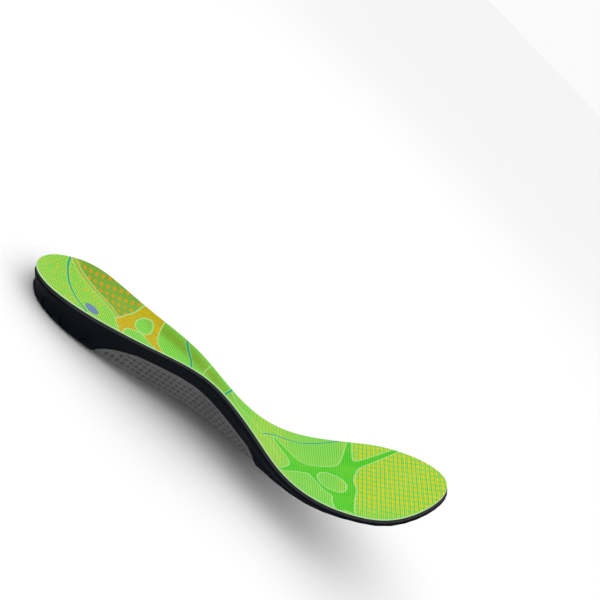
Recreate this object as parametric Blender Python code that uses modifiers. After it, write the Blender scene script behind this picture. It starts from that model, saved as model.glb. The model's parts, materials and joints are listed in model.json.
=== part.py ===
"""A cushioned insole for a left shoe, resting on a floor with its toe flexed up.

+X runs from heel to toe, +Y to the outer (lateral) side and +Z up. Every layer is laid out flat
along the length of the sole, then flexed: lifted at the arch and bent up at the ball.
"""

import math

import bpy
import numpy as np

MM = 0.001

# Outline of the flat sole, at shares of its length
LENGTH = 270 * MM  # heel to toe along the sole, for a shoe of EU size 42 to 43
HEEL_ROUND = 34 * MM  # how far from the heel the outline reaches its full width
TOE_ROUND = 43 * MM
TOE_DRIFT = -9.5 * MM  # how far the toe leans to the inner side
STATIONS = np.array([0, 0.08, 0.16, 0.28, 0.40, 0.52, 0.64, 0.74, 0.84, 0.93, 1])
INNER_HALF = np.array([30, 27, 27.5, 28.5, 27.5, 30.5, 35.5, 41, 43, 40, 35]) * MM
OUTER_HALF = np.array([35, 35, 34.5, 34, 36.5, 39, 42, 42.5, 39.5, 34.5, 31]) * MM

# Heights over the flat sole, at shares of the length
RIM_STATIONS = np.array([0, 0.10, 0.22, 0.36, 0.50, 0.62, 0.74, 0.88, 1])
INNER_RIM = np.array([12, 18, 22, 23, 14.5, 9.5, 8, 5.5, 5.5]) * MM
OUTER_RIM = np.array([12, 15.5, 16.5, 17, 10, 6, 5.5, 5.5, 5.5]) * MM
DISH_STATIONS = np.array([0, 0.2, 0.45, 0.65, 1])
DISH_FLOOR = np.array([8, 8, 7, 6, 5]) * MM
INNER_DISH_POWER = np.array([4, 3.4, 2.1, 3, 3])  # how late the dish climbs to its rim
OUTER_DISH_POWER = np.array([4, 4, 3.4, 3, 3])
INNER_FLARE = np.array([4.5, 6, 10, 7, 1.5]) * MM  # how far the walls lean out at their rims
OUTER_FLARE = np.array([4.5, 5, 5, 3, 1.5]) * MM
SOLE_EDGE_RADIUS = np.array([5, 5, 4, 2.5, 2]) * MM

# Arch and flex
ARCH_LIFT = 17 * MM
ARCH_CENTRE = 0.50
ARCH_REACH = 0.41
ARCH_SHARPNESS = 1.6
FLEX_ANGLE = math.radians(46)
FLEX_START = 0.48
FLEX_END = 0.82

# Layers
GAP = 0.3 * MM  # glue line between neighbours
COVER_THICK = 0.6 * MM
FOAM_THICK = 1.6 * MM
BASE_EDGE = np.array([0.9, 1.3, 2.1, 1.5, 0.9]) * MM  # rim of the base outside the foam

# Heel pad, an oval disc in a pocket with a lip
PAD_X = 39 * MM
PAD_Y = 6 * MM
PAD_LENGTH = 43 * MM
PAD_WIDTH = 36 * MM
PAD_THICK = 3 * MM
PAD_SETBACK = 0.5 * MM  # from the flat of the heel up to the pad's face
PAD_RINGS = 4
PAD_RIM = 2 * MM  # smooth border round the rings
PAD_EYE = 1 * MM  # flat middle inside the rings
PAD_RIDGE = 0.4 * MM
LIP_WIDTH = 3 * MM
LIP_GROOVE = 1.2 * MM
LIP_GROOVE_DEPTH = 0.6 * MM

# Arch plate in its recess: where its edges run, across from outer to inner edge. The rear edge
# goes round the heel pad
PLATE_THICK = 1.1 * MM
PLATE_SETBACK = 0.1 * MM  # from the base's outside in to the plate's face
PLATE_GLUE = 0.5 * MM  # under the plate, where the recess curves most
PLATE_ACROSS = np.array([0, 0.1, 0.22, 0.36, 0.5, 0.62, 0.73, 0.85, 0.95, 1])
PLATE_PAST_PAD = np.array([-0.5, 1.5, 4.5, 6.5, 3, -5.5, -11.5, -12, -5, 6]) * MM
PLATE_REAR = PAD_X + PAD_LENGTH / 2 + PLATE_PAST_PAD
PLATE_FRONT = np.array([0.563, 0.552, 0.541, 0.535, 0.535, 0.544, 0.559, 0.574, 0.57, 0.53]) * LENGTH
PLATE_RIM_BAND = 7 * MM  # base left showing between the plate and the inner rim
PLATE_OUTER_STATIONS = np.array([0.2, 0.4, 0.58])
PLATE_OUTER_BAND = np.array([9, 8.5, 4.5]) * MM

# Shallow panels in the heel wall: places on the outline, and shares of the wall's height
PANEL_DEPTH = 0.5 * MM
PANELS = ((1.6, 4.1), (4.5, 6.4), (6.8, 9.3))
PANEL_LOW = 0.14
PANEL_HIGH = 0.68
PANEL_CORNER = 0.45  # the height left at a panel's ends, which rounds its corners

# Two-lobed recess under the ball: where its rear and front edges run, from outer to inner edge
BALL_ACROSS = np.array([0, 0.12, 0.3, 0.5, 0.6, 0.7, 0.86, 1])
BALL_REAR = np.array([0.704, 0.67, 0.659, 0.689, 0.693, 0.681, 0.711, 0.763]) * LENGTH
BALL_FRONT = np.array([0.756, 0.789, 0.811, 0.822, 0.826, 0.83, 0.83, 0.8]) * LENGTH
BALL_BAND = 7 * MM  # from the edge of the sole
BALL_DEPTH = 0.6 * MM

AROUND = 72
DISH_RINGS = (1, 0.94, 0.87, 0.78, 0.66, 0.5, 0.27)
WALL_STEPS = 4
EDGE_STEPS = 3
SOLE_RINGS = (0.78, 0.45)
PLATE_ROWS = 22
PLATE_COLUMNS = 18
PANEL_STEPS = (8, 4)
BALL_STEPS = (16, 8)
ROUND_STEPS = 40


def smooth(at, knots, values):
    """A smooth curve through the values, level beyond its ends."""
    slope = np.gradient(values, knots)
    at = np.clip(at, knots[0], knots[-1])
    i = np.clip(np.searchsorted(knots, at, side="right") - 1, 0, len(knots) - 2)
    span = knots[i + 1] - knots[i]
    u = (at - knots[i]) / span
    start = (2 * u**3 - 3 * u**2 + 1) * values[i] + (u**3 - 2 * u**2 + u) * span * slope[i]
    end = (3 * u**2 - 2 * u**3) * values[i + 1] + (u**3 - u**2) * span * slope[i + 1]
    return start + end


def ease(share):
    share = np.clip(share, 0, 1)
    return share**2 * (3 - 2 * share)


def drift(x):
    return TOE_DRIFT * np.clip((x / LENGTH - 0.6) / 0.4, 0, 1) ** 2


def inner_y(x):
    return drift(x) - smooth(x / LENGTH, STATIONS, INNER_HALF)


def outer_y(x):
    return drift(x) + smooth(x / LENGTH, STATIONS, OUTER_HALF)


def outline():
    """x, y and side (-1 inner, +1 outer) round the sole, from the heel along the inner side."""
    turn = np.arange(AROUND) * 2 * math.pi / AROUND
    x = LENGTH * (1 - np.cos(turn)) / 2
    side = np.where(turn <= math.pi, -1, 1)
    heel = np.clip(1 - x / HEEL_ROUND, 0, 1)
    toe = np.clip(1 - (LENGTH - x) / TOE_ROUND, 0, 1)
    rounding = np.sqrt((1 - heel**2) * (1 - toe**2))
    edge = np.where(side < 0, inner_y(x), outer_y(x))
    return x, drift(x) + (edge - drift(x)) * rounding, side


def spine():
    """For each place on the outline, the point of the middle line that its rings shrink to."""
    x = np.clip(outline()[0], HEEL_ROUND, LENGTH - TOE_ROUND)
    return np.stack([x, (inner_y(x) + outer_y(x)) / 2], -1)


def spine_places():
    """For each place on the outline, the number of its spine point, counted from the heel."""
    places = []
    for i in range(AROUND):
        places.append(min(i, AROUND - i))
    x = outline()[0]
    straight = [i for i in range(AROUND // 2) if HEEL_ROUND < x[i] < LENGTH - TOE_ROUND]
    return [min(max(k, straight[0] - 1), straight[-1] + 1) - straight[0] + 1 for k in places]


def net(rings):
    """Points and triangles of rings that shrink to the spine, which is the last ring."""
    places = spine_places()
    ends = {k: rings[-1][i] for i, k in enumerate(places)}
    points = np.vstack(rings[:-1] + [[ends[k] for k in sorted(ends)]])
    tail = (len(rings) - 1) * AROUND
    faces = []
    for j in range(len(rings) - 1):
        for i in range(AROUND):
            after = (i + 1) % AROUND
            face = [j * AROUND + i, j * AROUND + after]
            if j < len(rings) - 2:
                face += [(j + 1) * AROUND + after, (j + 1) * AROUND + i]
            else:
                face += [tail + places[after], tail + places[i]]
            face = list(dict.fromkeys(face))
            faces += [[face[0], *face[k:k + 2]] for k in range(1, len(face) - 1)]
    return points, faces


def normals(points, faces):
    """The averaged normal at each point."""
    total = np.zeros_like(points)
    for face in faces:
        corners = points[face]
        across = np.cross(corners[2] - corners[0], corners[-1] - corners[1])
        if len(face) == 3:
            across = np.cross(corners[1] - corners[0], corners[2] - corners[0])
        for k in face:
            total[k] += across
    return total / np.linalg.norm(total, axis=1)[:, None]


def top_ring(share):
    """One ring of the dished top, from 1 at the rim to 0 on the spine."""
    x, y, side = outline()
    rim_at = x / LENGTH
    rim = np.where(
        side < 0,
        smooth(rim_at, RIM_STATIONS, INNER_RIM),
        smooth(rim_at, RIM_STATIONS, OUTER_RIM),
    )
    middle = spine()
    flat = middle + (np.stack([x, y], -1) - middle) * share
    at = flat[:, 0] / LENGTH
    power = np.where(
        side < 0,
        smooth(at, DISH_STATIONS, INNER_DISH_POWER),
        smooth(at, DISH_STATIONS, OUTER_DISH_POWER),
    )
    floor = smooth(at, DISH_STATIONS, DISH_FLOOR)
    return np.column_stack([flat, floor + (rim - floor) * share**power])


def top_under(depth):
    """The dished top moved down into the sole by a depth, with its normals and faces."""
    points, faces = net([top_ring(share) for share in DISH_RINGS] + [top_ring(0)])
    facing = normals(points, faces)
    return points - facing * depth, facing, faces


def flex(points):
    """Lifts the inner side at the arch and bends the front up at the ball."""
    x, y, z = np.asarray(points, float).T
    at = x / LENGTH
    inner = np.clip((outer_y(x) - y) / (outer_y(x) - inner_y(x)), 0, 1.2)
    bump = np.cos(np.clip((at - ARCH_CENTRE) / ARCH_REACH, -1, 1) * math.pi / 2) ** 2
    z = z + ARCH_LIFT * bump * inner**ARCH_SHARPNESS
    line = np.linspace(-0.1, 1.1, 481)
    angle = FLEX_ANGLE * ease((line - FLEX_START) / (FLEX_END - FLEX_START))
    step = (line[1] - line[0]) * LENGTH
    run = np.cumsum(np.cos(angle)) * step
    rise = np.cumsum(np.sin(angle)) * step
    turn = np.interp(at, line, angle)
    ahead = np.interp(at, line, run) - np.interp(0, line, run) - z * np.sin(turn)
    return np.stack([ahead, y, np.interp(at, line, rise) + z * np.cos(turn)], -1)


def base_rings():
    """The base's rings: its dished top from rim to spine, and its outside from rim to spine."""
    points, facing, _ = top_under(COVER_THICK + FOAM_THICK + 2 * GAP)
    tops = [points[j * AROUND:(j + 1) * AROUND] for j in range(len(DISH_RINGS))]
    tail = points[len(DISH_RINGS) * AROUND:]
    tops.append(np.array([tail[k] for k in spine_places()]))
    at = outline()[0] / LENGTH
    edge = tops[0] - facing[:AROUND] * smooth(at, DISH_STATIONS, BASE_EDGE)[:, None]
    middle = spine()
    inward = middle - edge[:, :2]
    inward = inward / np.linalg.norm(inward, axis=1)[:, None]
    flare = np.where(
        outline()[2] < 0,
        smooth(at, DISH_STATIONS, INNER_FLARE),
        smooth(at, DISH_STATIONS, OUTER_FLARE),
    )[:, None]
    height = edge[:, 2:]
    radius = np.minimum(smooth(at, DISH_STATIONS, SOLE_EDGE_RADIUS)[:, None], 0.45 * height)
    outside = [edge]
    for k in range(1, WALL_STEPS + 1):
        z = radius + (height - radius) * (1 - k / WALL_STEPS)
        lean = flare * (1 - (z / height) ** 2)
        outside.append(np.hstack([edge[:, :2] + inward * lean, z]))
    foot = outside[-1][:, :2]
    for k in range(1, EDGE_STEPS + 1):
        turn = math.pi / 2 * k / EDGE_STEPS
        move = radius * (1 - math.cos(turn))
        outside.append(np.hstack([foot + inward * move, radius * (1 - math.sin(turn))]))
    rim = outside[-1][:, :2]
    for share in SOLE_RINGS + (0,):
        flat = middle + (rim - middle) * share
        outside.append(np.hstack([flat, np.zeros((AROUND, 1))]))
    return tops, outside


def half_section(rings, x, inner):
    """Where each ring crosses x on one side, as y and z."""
    half = AROUND // 2
    line = []
    for ring in rings:
        side = ring[:half + 1] if inner else np.vstack([ring[half:], ring[:1]])[::-1]
        line.append([np.interp(x, side[:, 0], side[:, k]) for k in (1, 2)])
    return line


def under(rings, x, share, margin):
    """A point on the base's outside at x: 0 at the plate's outer edge, 1 at its inner edge."""
    line = half_section(rings[:-1], x, False) + half_section(rings, x, True)[::-1]
    line = np.array(line)
    girth = np.concatenate([[0], np.cumsum(np.linalg.norm(np.diff(line, axis=0), axis=1))])
    start = smooth(x / LENGTH, PLATE_OUTER_STATIONS, PLATE_OUTER_BAND) - margin
    end = girth[-1] - PLATE_RIM_BAND + margin
    place = start + (end - start) * share
    return [x, np.interp(place, girth, line[:, 0]), np.interp(place, girth, line[:, 1])]


def plate_grid(margin):
    """Points of the arch plate on the base's outside, grown by a margin all round."""
    _, outside = base_rings()
    grid = []
    for share in np.linspace(0, 1, PLATE_COLUMNS + 1):
        rear = smooth(share, PLATE_ACROSS, PLATE_REAR) - margin
        front = smooth(share, PLATE_ACROSS, PLATE_FRONT) + margin
        line = np.linspace(rear, front, PLATE_ROWS + 1)
        grid.append([under(outside, x, share, margin) for x in line])
    return np.array(grid)[::-1]


def panel_grid(start, end):
    """Points of one wall panel, between two places on the outline."""
    _, outside = base_rings()
    wall = np.array(outside[:WALL_STEPS + EDGE_STEPS + 1])
    wall = np.concatenate([wall[:, -AROUND // 4:], wall], axis=1)
    places = np.arange(-(AROUND // 4), AROUND)
    grid = []
    for place in np.linspace(start, end, PANEL_STEPS[0] + 1):
        up = np.array([[np.interp(place, places, row[:, k]) for k in range(3)] for row in wall])
        height = up[:, 2] / up[0, 2]
        along = abs(2 * (place - start) / (end - start) - 1)
        half = (PANEL_HIGH - PANEL_LOW) / 2 * max(PANEL_CORNER, (1 - along**4) ** 0.25)
        level = (PANEL_LOW + PANEL_HIGH) / 2 + np.linspace(-half, half, PANEL_STEPS[1] + 1)
        grid.append([[np.interp(h, height[::-1], up[::-1, k]) for k in range(3)] for h in level])
    return np.array(grid)


def ball_grid():
    """Points of the recess under the ball, on the flat sole."""
    grid = []
    for share in np.linspace(0, 1, BALL_STEPS[0] + 1):
        rear = smooth(share, BALL_ACROSS, BALL_REAR)
        front = smooth(share, BALL_ACROSS, BALL_FRONT)
        x = np.linspace(rear, front, BALL_STEPS[1] + 1)
        outer = outer_y(x) - BALL_BAND
        inner = inner_y(x) + BALL_BAND
        grid.append(np.column_stack([x, outer + (inner - outer) * share, np.zeros(len(x))]))
    return np.array(grid)[::-1]


def new_object(name, points, faces, collection):
    mesh = bpy.data.meshes.new(name)
    mesh.from_pydata([tuple(p) for p in points], [], faces)
    mesh.update()
    mesh.shade_smooth()
    obj = bpy.data.objects.new(name, mesh)
    collection.objects.link(obj)
    return obj


def patch(name, grid, sink, thick, collection):
    """A shell on the outside of the base: a grid of points, sunk below it, grown outwards."""
    rows, columns = grid.shape[:2]
    points = flex(grid.reshape(-1, 3))
    faces = []
    for i in range(rows - 1):
        for j in range(columns - 1):
            k = i * columns + j
            faces.append([k, k + columns, k + columns + 1, k + 1])
    points = points - normals(points, faces) * sink
    shell = new_object(name, points, faces, collection)
    solidify = shell.modifiers.new("Thickness", "SOLIDIFY")
    solidify.thickness = thick
    solidify.offset = 1
    return shell


def turned(name, profile, collection):
    """A turned oval disc: a profile swept round the pad's middle, in shares of its radius."""
    points = [(r, 0, z) for r, z in profile]
    mesh = bpy.data.meshes.new(name)
    mesh.from_pydata(points, [(i, i + 1) for i in range(len(points) - 1)], [])
    obj = bpy.data.objects.new(name, mesh)
    collection.objects.link(obj)
    obj.location = (PAD_X, PAD_Y, 0)
    obj.scale = (1, PAD_WIDTH / PAD_LENGTH, 1)
    screw = obj.modifiers.new("Turn", "SCREW")
    screw.steps = ROUND_STEPS
    screw.render_steps = ROUND_STEPS
    screw.use_merge_vertices = True
    screw.merge_threshold = 0.0001 * MM
    return obj


def ringed_face(radius):
    """The pad's lower face: rings of ridges from the rim to the middle."""
    face = []
    pitch = (radius - PAD_RIM - PAD_EYE) / PAD_RINGS
    for k in range(PAD_RINGS):
        r = radius - PAD_RIM - k * pitch
        face += [(r, PAD_SETBACK), (r - 0.45 * pitch, PAD_SETBACK)]
        valley = PAD_SETBACK + PAD_RIDGE
        face += [(r - 0.55 * pitch, valley), (r - 0.9 * pitch, valley)]
    return face


def make_pad(collection):
    radius = PAD_LENGTH / 2
    top = PAD_SETBACK + PAD_THICK
    profile = [(0, top), (radius, top), (radius, PAD_SETBACK + PAD_RIDGE)]
    profile += ringed_face(radius) + [(0, PAD_SETBACK)]
    return turned("heel_pad", profile, collection)


def make_pocket(collection):
    """The cutter of the pad's pocket, deeper and wider than the pad by the glue line."""
    radius = PAD_LENGTH / 2 + GAP * PAD_LENGTH / PAD_WIDTH
    top = PAD_SETBACK + PAD_THICK + GAP
    return turned("pocket_cutter", [(0, top), (radius, top), (radius, -top), (0, -top)], collection)


def make_lip_groove(collection):
    """The cutter of the groove that sets off the lip round the pocket."""
    inner = PAD_LENGTH / 2 + LIP_WIDTH
    outer = inner + LIP_GROOVE
    profile = [(inner, LIP_GROOVE_DEPTH), (outer, LIP_GROOVE_DEPTH), (outer, -LIP_GROOVE_DEPTH)]
    profile += [(inner, -LIP_GROOVE_DEPTH), (inner, LIP_GROOVE_DEPTH)]
    return turned("lip_cutter", profile, collection)


def make_sheet(name, depth, thick, collection):
    """One layer of the dished top, from a depth below it down through the layer's own thickness."""
    above, _, faces = top_under(depth)
    below, _, _ = top_under(depth + thick)
    count = len(above)
    faces += [[k + count for k in reversed(face)] for face in faces]
    for i in range(AROUND):
        after = (i + 1) % AROUND
        faces.append([after, i, i + count, after + count])
    return new_object(name, flex(np.vstack([above, below])), faces, collection)


def make_base(collection):
    tops, outside = base_rings()
    points, faces = net(tops)
    below, turned_faces = net([tops[0]] + outside)
    count = len(points)
    number = {k: (k if k < AROUND else k - AROUND + count) for k in range(len(below))}
    faces += [[number[k] for k in reversed(face)] for face in turned_faces]
    points = np.vstack([points, below[AROUND:]])
    return new_object("base", flex(points), faces, collection)


def cut(target, cutter):
    cutter.hide_render = True
    cutter.display_type = "WIRE"
    boolean = target.modifiers.new(cutter.name, "BOOLEAN")
    boolean.operation = "DIFFERENCE"
    boolean.object = cutter


def give_material(obj, colour, roughness):
    material = bpy.data.materials.new(obj.name)
    material.use_nodes = True
    shader = material.node_tree.nodes["Principled BSDF"]
    shader.inputs["Base Color"].default_value = (*colour, 1)
    shader.inputs["Roughness"].default_value = roughness
    shader.inputs["Metallic"].default_value = 0
    obj.data.materials.append(material)


def middle_of(objects):
    """The middle of the box round the objects, modifiers included, seen from above."""
    graph = bpy.context.evaluated_depsgraph_get()
    boxes = [obj.evaluated_get(graph).bound_box for obj in objects]
    placed = zip(boxes, objects)
    corners = np.vstack([np.array(box) * obj.scale + obj.location for box, obj in placed])
    return (corners.min(axis=0) + corners.max(axis=0)) / 2


def new_collection(name):
    collection = bpy.data.collections.new(name)
    bpy.context.scene.collection.children.link(collection)
    return collection


def main():
    for obj in list(bpy.data.objects):
        bpy.data.objects.remove(obj)
    insole = new_collection("insole")
    cutters = new_collection("cutters")

    cover = make_sheet("top_cover", 0, COVER_THICK, insole)
    foam = make_sheet("cushion_foam", COVER_THICK + GAP, FOAM_THICK, insole)
    base = make_base(insole)
    sink = PLATE_THICK + PLATE_SETBACK
    plate = patch("arch_plate", plate_grid(0), sink, PLATE_THICK, insole)
    pad = make_pad(insole)

    cut(base, patch("plate_cutter", plate_grid(GAP), sink + PLATE_GLUE, 2.5 * PLATE_THICK, cutters))
    cut(base, make_pocket(cutters))
    cut(base, make_lip_groove(cutters))
    for k, (start, end) in enumerate(PANELS):
        grid = panel_grid(start, end)
        cut(base, patch(f"panel_cutter_{k + 1}", grid, PANEL_DEPTH, 3 * PANEL_DEPTH, cutters))
    cut(base, patch("ball_cutter", ball_grid(), BALL_DEPTH, 3 * BALL_DEPTH, cutters))

    give_material(cover, (0.36, 0.75, 0.06), 0.85)
    give_material(foam, (0.02, 0.022, 0.028), 0.9)
    give_material(base, (0.012, 0.014, 0.02), 0.5)
    give_material(plate, (0.13, 0.14, 0.15), 0.4)
    give_material(pad, (0.35, 0.02, 0.015), 0.35)

    pieces = list(insole.objects) + list(cutters.objects)
    middle = middle_of(list(insole.objects))
    centre = bpy.data.objects.new("insole_centre", None)
    insole.objects.link(centre)
    centre.location = (-middle[0], -middle[1], 0)
    for obj in pieces:
        obj.parent = centre


if __name__ == "__main__":
    main()
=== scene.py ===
"""Cushioned insole: finished cover, foam, base, arch plate and heel pad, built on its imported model."""

import json
import math

import bpy
import numpy as np
from bpy.props import FloatProperty, FloatVectorProperty, IntProperty, PointerProperty
from mathutils import Matrix, Vector
from mathutils.kdtree import KDTree

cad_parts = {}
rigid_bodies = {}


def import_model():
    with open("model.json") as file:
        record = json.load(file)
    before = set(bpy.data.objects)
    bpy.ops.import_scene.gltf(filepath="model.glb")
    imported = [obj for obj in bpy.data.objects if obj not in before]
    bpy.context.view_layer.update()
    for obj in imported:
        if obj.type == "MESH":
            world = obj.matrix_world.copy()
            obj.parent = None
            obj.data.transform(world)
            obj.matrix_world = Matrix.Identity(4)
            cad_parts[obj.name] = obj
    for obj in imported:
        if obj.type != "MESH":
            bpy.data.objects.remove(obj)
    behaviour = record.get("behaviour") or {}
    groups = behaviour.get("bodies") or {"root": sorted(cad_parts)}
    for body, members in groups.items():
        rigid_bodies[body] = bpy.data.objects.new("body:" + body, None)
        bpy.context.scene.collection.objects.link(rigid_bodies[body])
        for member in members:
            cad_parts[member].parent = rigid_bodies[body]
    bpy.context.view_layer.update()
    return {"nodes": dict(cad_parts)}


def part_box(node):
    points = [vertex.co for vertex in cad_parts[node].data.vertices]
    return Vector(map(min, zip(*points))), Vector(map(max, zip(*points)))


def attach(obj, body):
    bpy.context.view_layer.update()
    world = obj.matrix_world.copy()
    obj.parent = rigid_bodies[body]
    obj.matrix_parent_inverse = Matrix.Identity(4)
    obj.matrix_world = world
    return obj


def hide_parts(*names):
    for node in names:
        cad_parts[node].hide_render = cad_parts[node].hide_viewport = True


bl_info = {
    "name": "Cushioned insole",
    "version": (1, 0, 0),
    "blender": (4, 5, 0),
    "location": "3D View > Sidebar > Insole",
    "description": "Models the cover, foam, base, arch plate and heel pad of a cushioned insole",
    "category": "Object",
}

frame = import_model()
MM = 0.001
TO_MM = 1000

# How the sole is flexed, and where the heel pad sits in the flat sole
SOLE_LENGTH = 270 * MM
FLEX_ANGLE = math.radians(46)
FLEX_START = 0.48
FLEX_END = 0.82
PAD_PLACE = (39 * MM, 6 * MM)
BEND_REACH = 0.1  # how far the flexed line runs on past both ends, as a share of the length
BEND_POINTS = 1201
BEND_HALVINGS = 24

# How the triangles of a CAD node are merged and joined
DOUBLES_GAP = 0.01 * MM
QUAD_FLATNESS = math.radians(50)
QUAD_SKEW = math.radians(70)

# How often the sheets are subdivided
COVER_LEVELS = 3
FOAM_LEVELS = 2

# Turns between two faces, in degrees, past which the edge between them stays sharp
SHEET_SHARP = 40
BASE_SHARP = 32
PLATE_SHARP = 50
PAD_SHARP = 40
PAD_RIM_SHARP = 60

# The rims of cover and foam reach out over the layers below them, round the back of the heel
COVER_ROLL = 3.6 * MM
FOAM_ROLL = 1.6 * MM
ROLL_LIFT = 0.8 * MM
HEEL_MIDDLE = (34 * MM, 2 * MM)
ROLL_AT_BACK = 0.6
ROLL_TOWARDS_INNER = 0.9

# Grooves in the underside: the row ahead of the arch plate bends back on both sides of its middle
BELOW_FLOOR = -50 * MM
ROW_MIDDLE = 2 * MM
ROW_BEND = 0.12

# Arch plate, in mm: a smooth rib runs along it and the dimples keep off its border
PLATE_WALL = 0.9
RIB_PLACE = -19.5  # across the flat sole
RIB_HALF = 3.2
RIB_FADE = 1.5
RIB_RISE = 0.175
RIB_WIDTH = 2.6
RIB_HOLLOW_PLACE = 5  # the hollow beside the rib, from the rib's middle
RIB_HOLLOW_WIDTH = 2.2
BORDER_CLEAR = (1.6, 2.6)
BORDER_LIP = (0.22, 0.8, 0.5)  # height of the lip, its place from the border and its width
DIMPLE_START = 1.15  # where the slope of a dimple starts, as a share of its radius
DIMPLE_RIM = (0.28, 1.12, 0.42)  # height and place as shares of depth and radius, and width
WALL_FROM = 9  # above this height the rows of dimples spread up the wall
WALL_SPREAD = 0.8
PLATE_SINK = 0.25  # how far the face lies in, to leave room for its rib, rims and lip
FACING_DOWN = -0.9  # upright part of the normal of a face that faces the floor

# Heel pad: the slopes and flats of a ring as shares of its pitch
PAD_SIDES = 96
PAD_EYE = 1.0 * MM
RING_SLOPE = 0.2
RING_FLAT = 0.3
PAD_ROUNDING = 0.35 * MM

# Stage
FLOOR_SIZE = 40
WORLD_STRENGTH = 0.96
LIGHTS = (  # name, place, size and power of each, all turned to the origin
    ("key", (-0.5, -0.7, 1.3), 1.2, 2.6),
    ("fill", (0.9, -0.4, 0.9), 0.9, 0.8),
    ("rim", (0.2, 1.1, 0.9), 0.8, 0.8),
)
CAMERA_PLACE = (-0.1421, -0.5547, 0.2719)
CAMERA_AIM = (0.0387, 0.2084, 0.025)
CAMERA_ROLL = -46.37
CAMERA_LENS = 68.55
CAMERA_SENSOR = 36


def flat_origin():
    """Where the flat sole's heel end and middle line meet, in the row frame."""
    low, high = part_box("heel_pad")
    return (low.x + high.x) / 2 - PAD_PLACE[0], (low.y + high.y) / 2 - PAD_PLACE[1]


def rise(values, low, high):
    """From 0 at low to 1 at high, and level beyond both."""
    return np.clip((values - low) / (high - low), 0, 1)


def fall(values, low, high):
    """From 1 at low to 0 at high, and level beyond both."""
    return rise(-values, -high, -low)


def hump(values, middle, width):
    """1 at the middle, and almost nothing two widths away from it."""
    return np.exp(-(((values - middle) / width) ** 2))


def eased(share):
    """A share from 0 to 1 that starts and ends gently."""
    return share * share * (3 - 2 * share)


def bend_line():
    """Shares of the sole's length, and the turn, run and rise of the flexed sole at each."""
    line = np.linspace(-BEND_REACH, 1 + BEND_REACH, BEND_POINTS)
    angle = FLEX_ANGLE * eased(rise(line, FLEX_START, FLEX_END))
    step = (line[1] - line[0]) * SOLE_LENGTH
    ahead = np.cumsum(np.cos(angle)) * step
    up = np.cumsum(np.sin(angle)) * step
    return line, angle, ahead - np.interp(0, line, ahead), up - np.interp(0, line, up)


def flat_places(points):
    """The places of points with the sole laid flat: along it, across it and above it."""
    origin_x, origin_y = flat_origin()
    line, angle, run, climb = bend_line()
    low = np.zeros(len(points))
    high = np.full(len(points), len(line) - 1.0)
    number = np.arange(len(line))
    for _ in range(BEND_HALVINGS):
        middle = (low + high) / 2
        at = np.interp(middle, number, angle)
        ahead = points[:, 0] - origin_x - np.interp(middle, number, run)
        above = points[:, 2] - np.interp(middle, number, climb)
        beyond = ahead * np.cos(at) + above * np.sin(at) > 0
        low = np.where(beyond, middle, low)
        high = np.where(beyond, high, middle)
    at = np.interp(middle, number, angle)
    height = above * np.cos(at) - ahead * np.sin(at)
    along = np.interp(middle, number, line) * SOLE_LENGTH
    return np.column_stack([along, points[:, 1] - origin_y, height])


# Print of the cover, in millimetres on the flat sole: x from the heel, y to the outer side
# A web of tapered strokes, each from (x, y, half width) to (x, y, half width)
WEB_STROKES = (
    ((214, 6, 4.0), (216, 42, 1.2)),
    ((216, 8, 3.6), (250, 33, 1.6)),
    ((213, 5, 3.2), (186, -2, 4.2)),
    ((186, -2, 4.4), (168, 24, 1.3)),
    ((186, -2, 4.0), (170, -24, 0.9)),
    ((203, -6, 9.6), (209.5, -17, 9.6)),
    ((216, 2, 3.0), (215, -26, 3.2)),
    ((213.5, -20, 4.6), (213.5, -34, 4.8)),
    ((213.5, -34, 4.8), (215, -48, 5.6)),
    ((54, 13, 2.6), (58, 20, 3.4)),
    ((54, 13, 2.4), (56, 0, 0.8)),
    ((58, 20, 3.0), (64, 38, 3.0)),
    ((62, 21, 3.4), (66, 25, 6.0)),
    ((68, 29, 2.6), (69, 42, 1.6)),
    ((73, 20, 2.8), (85, 14, 2.0)),
    ((73, 21, 2.6), (71, 40, 1.6)),
)
WEB_ISLANDS = (  # middle, half length, half width and turn of each oval left out of the web
    (66, 24.6, 6.2, 5.0, 60),
    (206.5, -11.5, 11.6, 7.4, -57),
    (215.5, -46, 3.2, 3.2, 0),
)
WEB_BLEND = 5.0
TEAL_LINES = (
    ((10, 25), (12, 20), (16, 13), (20, 7), (26, 1), (33, -3), (40, -12), (44, -26)),
    ((90, 42), (91, 35), (95, 32), (101, 27), (104, 12), (102, -10), (98, -30)),
    ((132, 42), (130, 36), (128, 29), (128, 10), (131, -14), (137, -32)),
    ((160, 22), (167, 28), (175, 30), (186, 31), (197, 35), (210, 40)),
)
PALE_LINES = (
    ((113, 42), (111, 35), (110, 29), (112, 10), (116, -8), (118, -30)),
    ((132, 36), (138, 33), (147, 30), (160, 22), (168, 8), (172, -8)),
)
BAND_LINE = (
    (5, 30),
    (9, 27.5),
    (15, 25.5),
    (22, 24),
    (30, 22.2),
    (38, 20.4),
    (45, 18.6),
    (50, 15.5),
    (53, 10),
)
HEEL_MARK = (36, 3, 4.6, 4.2)  # a plain oval: middle and half sizes
FAR = 99.0  # stands for any distance greater than itself
FLAT_MAP = "flat"  # the UV map that holds places on the flat sole

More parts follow.
